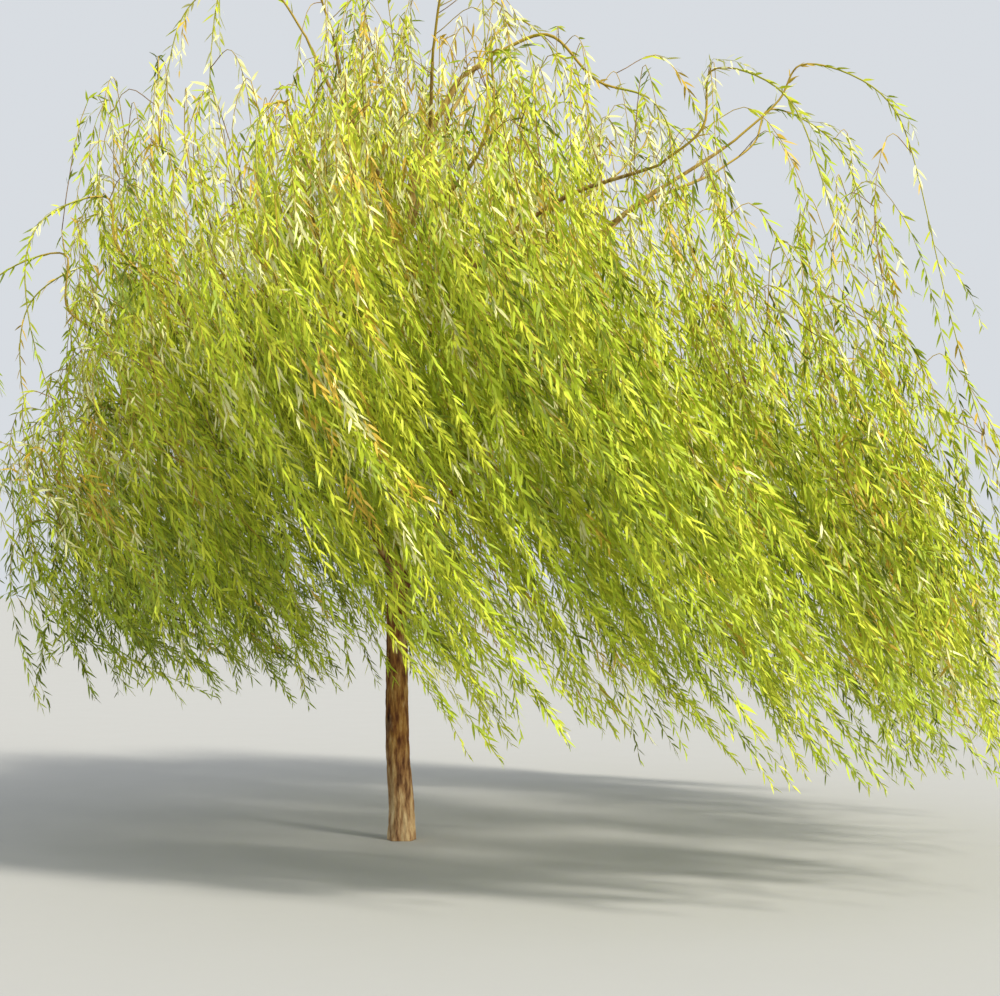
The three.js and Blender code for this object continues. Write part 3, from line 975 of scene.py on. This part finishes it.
def bark_relief(points, angle, radius):
    """Furrows that run up the limb, broken into plates, from about -0.9 to 0.5."""
    height = lengths_along(points)
    rough = np.empty(radius.shape)
    for i, z in enumerate(height):
        for j, a in enumerate(angle):
            r = radius[i, j]
            across = RELIEF["across"]
            place = Vector((math.cos(a) * r * across, math.sin(a) * r * across, z * RELIEF["up"]))
            furrow = abs(noise.noise(place)) * RELIEF["sharpness"]
            fine = noise.noise(place * RELIEF["fine"])
            rough[i, j] = min(furrow, 1) - RELIEF["plate"] + RELIEF["fine_depth"] * fine
    return rough


def add_limb(mesh, points, radius_at, sides, depth_at):
    """radius_at gives the radius by ring and angle, and depth_at how deep the relief is at a radius."""
    normals, binormals = limb_frames(points)
    angle = np.arange(sides) / sides * TURN
    ring = normals[:, None] * np.cos(angle)[:, None] + binormals[:, None] * np.sin(angle)[:, None]
    radius = radius_at(angle)
    rough = bark_relief(points, angle, radius)
    corners = points[:, None] + ring * (radius + rough * depth_at(radius))[..., None]
    corners[..., 2] = np.maximum(corners[..., 2], 0)
    mesh.add(corners, ring_faces(len(points), sides))
    first_end = np.arange(sides)[::-1]
    last_end = np.arange(sides) + (len(points) - 1) * sides
    for end in (first_end, last_end):
        mesh.faces.append(end[None])
        mesh.tones.append(np.zeros(1, int))


def trunk_mesh():
    mesh = Mesh()
    points = evenly_along(TRUNK_LINE, np.linspace(0, 1, TRUNK_MESH["rings"]) ** TRUNK_MESH["crowding"])
    height = lengths_along(points)
    share = height / height[-1]

    def radius_at(angle):
        return trunk_radius(share[:, None], height[:, None], angle[None])

    def depth_at(radius):
        return RELIEF["trunk_depth"] * np.minimum(1, radius / RELIEF["full_radius"])

    add_limb(mesh, points, radius_at, TRUNK_MESH["sides"], depth_at)
    return mesh


def bough_mesh(limb):
    mesh = Mesh()
    steps = np.diff(curve_at(limb["knots"], np.linspace(0, 1, 50)), axis=0)
    length = np.linalg.norm(steps, axis=1).sum()
    points = evenly_along(limb["knots"], np.linspace(0, 1, int(length / BOUGH_MESH["spacing"])))
    share = np.linspace(0, 1, len(points))[:, None]
    collar = 1 + BOUGH_MESH["collar"] * np.exp(-share * length / BOUGH_MESH["collar_length"])
    radius = mix(limb["radius"], BOUGH["tip"], share ** BOUGH["taper"]) * collar

    def radius_at(angle):
        return np.repeat(radius, len(angle), axis=1)

    def depth_at(radius):
        return RELIEF["bough_depth"] * radius

    add_limb(mesh, points, radius_at, BOUGH_MESH["sides"], depth_at)
    return mesh


# The tree

limbs, masses = grow_limbs()
leaf_materials = [leaf_material(name, code) for name, (code, _) in LEAF_TONES.items()]
twig_materials = [twig_material(name, code) for name, code in TWIG_TONES.items()]
limb_bark = bark_material()

for mass in masses:
    twigs, leaves = grow_mass(mass)
    twig_piece = twigs.make(mass["name"] + "_twigs", twig_materials)
    leaf_piece = leaves.make(mass["name"] + "_leaves", leaf_materials)
    for piece in (twig_piece, leaf_piece):
        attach(piece, "root")
        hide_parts(mass["name"])

piece = trunk_mesh().make("trunk_bark", [limb_bark])
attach(piece, "root")
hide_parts("trunk")

for name, limb in limbs.items():
    piece = bough_mesh(limb).make(name + "_bark", [limb_bark])
    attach(piece, "root")
    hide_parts(name)

# Stage: a pale floor, soft sun, pale sky and the camera. Angles are in degrees.

FLOOR_REACH = 60
SKY = {"colour": (0.86, 0.9, 0.95, 1), "strength": 0.8}
CAMERA = {"lens": 72, "sensor": 36, "place": (0.49, -10, 1.4), "upward": 1.72}


def add_floor():
    data = bpy.data.meshes.new("floor")
    corners = [(x * FLOOR_REACH, y * FLOOR_REACH, 0) for x, y in ((-1, -1), (1, -1), (1, 1), (-1, 1))]
    data.from_pydata(corners, [], [(0, 1, 2, 3)])
    floor = bpy.data.objects.new("floor", data)
    bpy.context.scene.collection.objects.link(floor)
    pale = Material("floor_pale", FLOOR_TONE)
    pale.rough(pale.noise(3), at_low=0.8, at_high=0.95)
    data.materials.append(pale.material)


def add_sun(name, azimuth, elevation, strength, angle, colour):
    light = bpy.data.lights.new(name, "SUN")
    light.energy = strength
    light.angle = math.radians(angle)
    light.color = colour
    lamp = bpy.data.objects.new(name, light)
    lamp.rotation_euler = (math.radians(90 - elevation), 0, math.radians(azimuth + 90))
    bpy.context.scene.collection.objects.link(lamp)


def add_sky():
    world = bpy.data.worlds.new("studio")
    world.use_nodes = True
    background = world.node_tree.nodes["Background"]
    background.inputs["Color"].default_value = SKY["colour"]
    background.inputs["Strength"].default_value = SKY["strength"]
    bpy.context.scene.world = world


def add_camera():
    data = bpy.data.cameras.new("camera")
    data.lens = CAMERA["lens"]
    data.sensor_width = CAMERA["sensor"]
    camera = bpy.data.objects.new("camera", data)
    camera.location = CAMERA["place"]
    camera.rotation_euler = (math.radians(90 + CAMERA["upward"]), 0, 0)
    bpy.context.scene.collection.objects.link(camera)
    bpy.context.scene.camera = camera


add_floor()
add_sun("key", azimuth=-44, elevation=46, strength=3.7, angle=8, colour=(1, 0.95, 0.84))
add_sun("low", azimuth=-32, elevation=7, strength=1.2, angle=10, colour=(1, 0.93, 0.8))
add_sky()
add_camera()
bpy.context.scene.view_settings.view_transform = "Standard"
